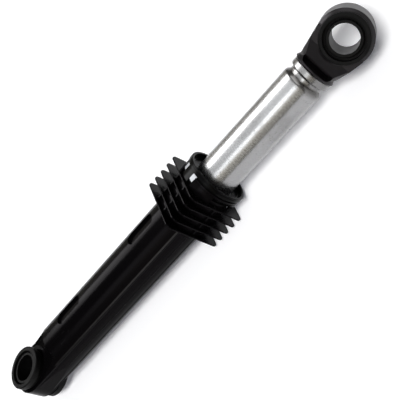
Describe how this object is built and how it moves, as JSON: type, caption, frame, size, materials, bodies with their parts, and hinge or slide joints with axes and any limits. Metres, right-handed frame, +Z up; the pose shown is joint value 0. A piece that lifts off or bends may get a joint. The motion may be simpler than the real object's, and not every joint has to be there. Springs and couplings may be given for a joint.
{
  "type": "washing machine shock absorber",
  "caption": "Friction damper for a washing machine tub: finned plastic housing, sliding steel plunger and a rubber-bushed eye at each end.",
  "frame": {"origin": "middle of the lower eye's bore", "axes": "+X along the damper from the lower eye to the upper eye, +Z up along the lower eye's bore, with the damper lying on the flats of its cooling fins"},
  "size_m": [0.2374, 0.0296, 0.0296],
  "materials": {
    "housing_plastic": "satin black moulded plastic",
    "cap_plastic": "satin black moulded plastic",
    "eye_plastic": "satin black moulded plastic",
    "sleeve_plastic": "dark grey moulded plastic",
    "white_acetal": "white bearing plastic",
    "natural_nylon": "natural nylon",
    "lining_foam": "greased polyurethane foam",
    "bushing_rubber": "matt black rubber",
    "plunger_steel": "ground and plated steel tube",
    "washer_steel": "plain steel"
  },
  "bodies": {
    "housing": {"housing": "housing_plastic", "end_cap": "cap_plastic", "guide_bush": "white_acetal", "friction_lining": "lining_foam", "lining_washer": "washer_steel", "lower_bushing": "bushing_rubber", "lower_sleeve": "sleeve_plastic"},
    "guide_ring": {"guide_ring": "natural_nylon"},
    "plunger": {"plunger_tube": "plunger_steel", "end_plug": "natural_nylon", "upper_eye": "eye_plastic", "upper_bushing": "bushing_rubber", "upper_sleeve": "sleeve_plastic"}
  },
  "joints": [
    {"name": "plunger_slide", "type": "slide", "parent": "housing", "child": "guide_ring", "axis": [1, 0, 0], "range_m": [-0.055, 0.0233]},
    {"name": "plunger_turn", "type": "hinge", "parent": "guide_ring", "child": "plunger", "pos_m": [0.08555, 0, 0], "axis": [1, 0, 0], "continuous": true}
  ]
}
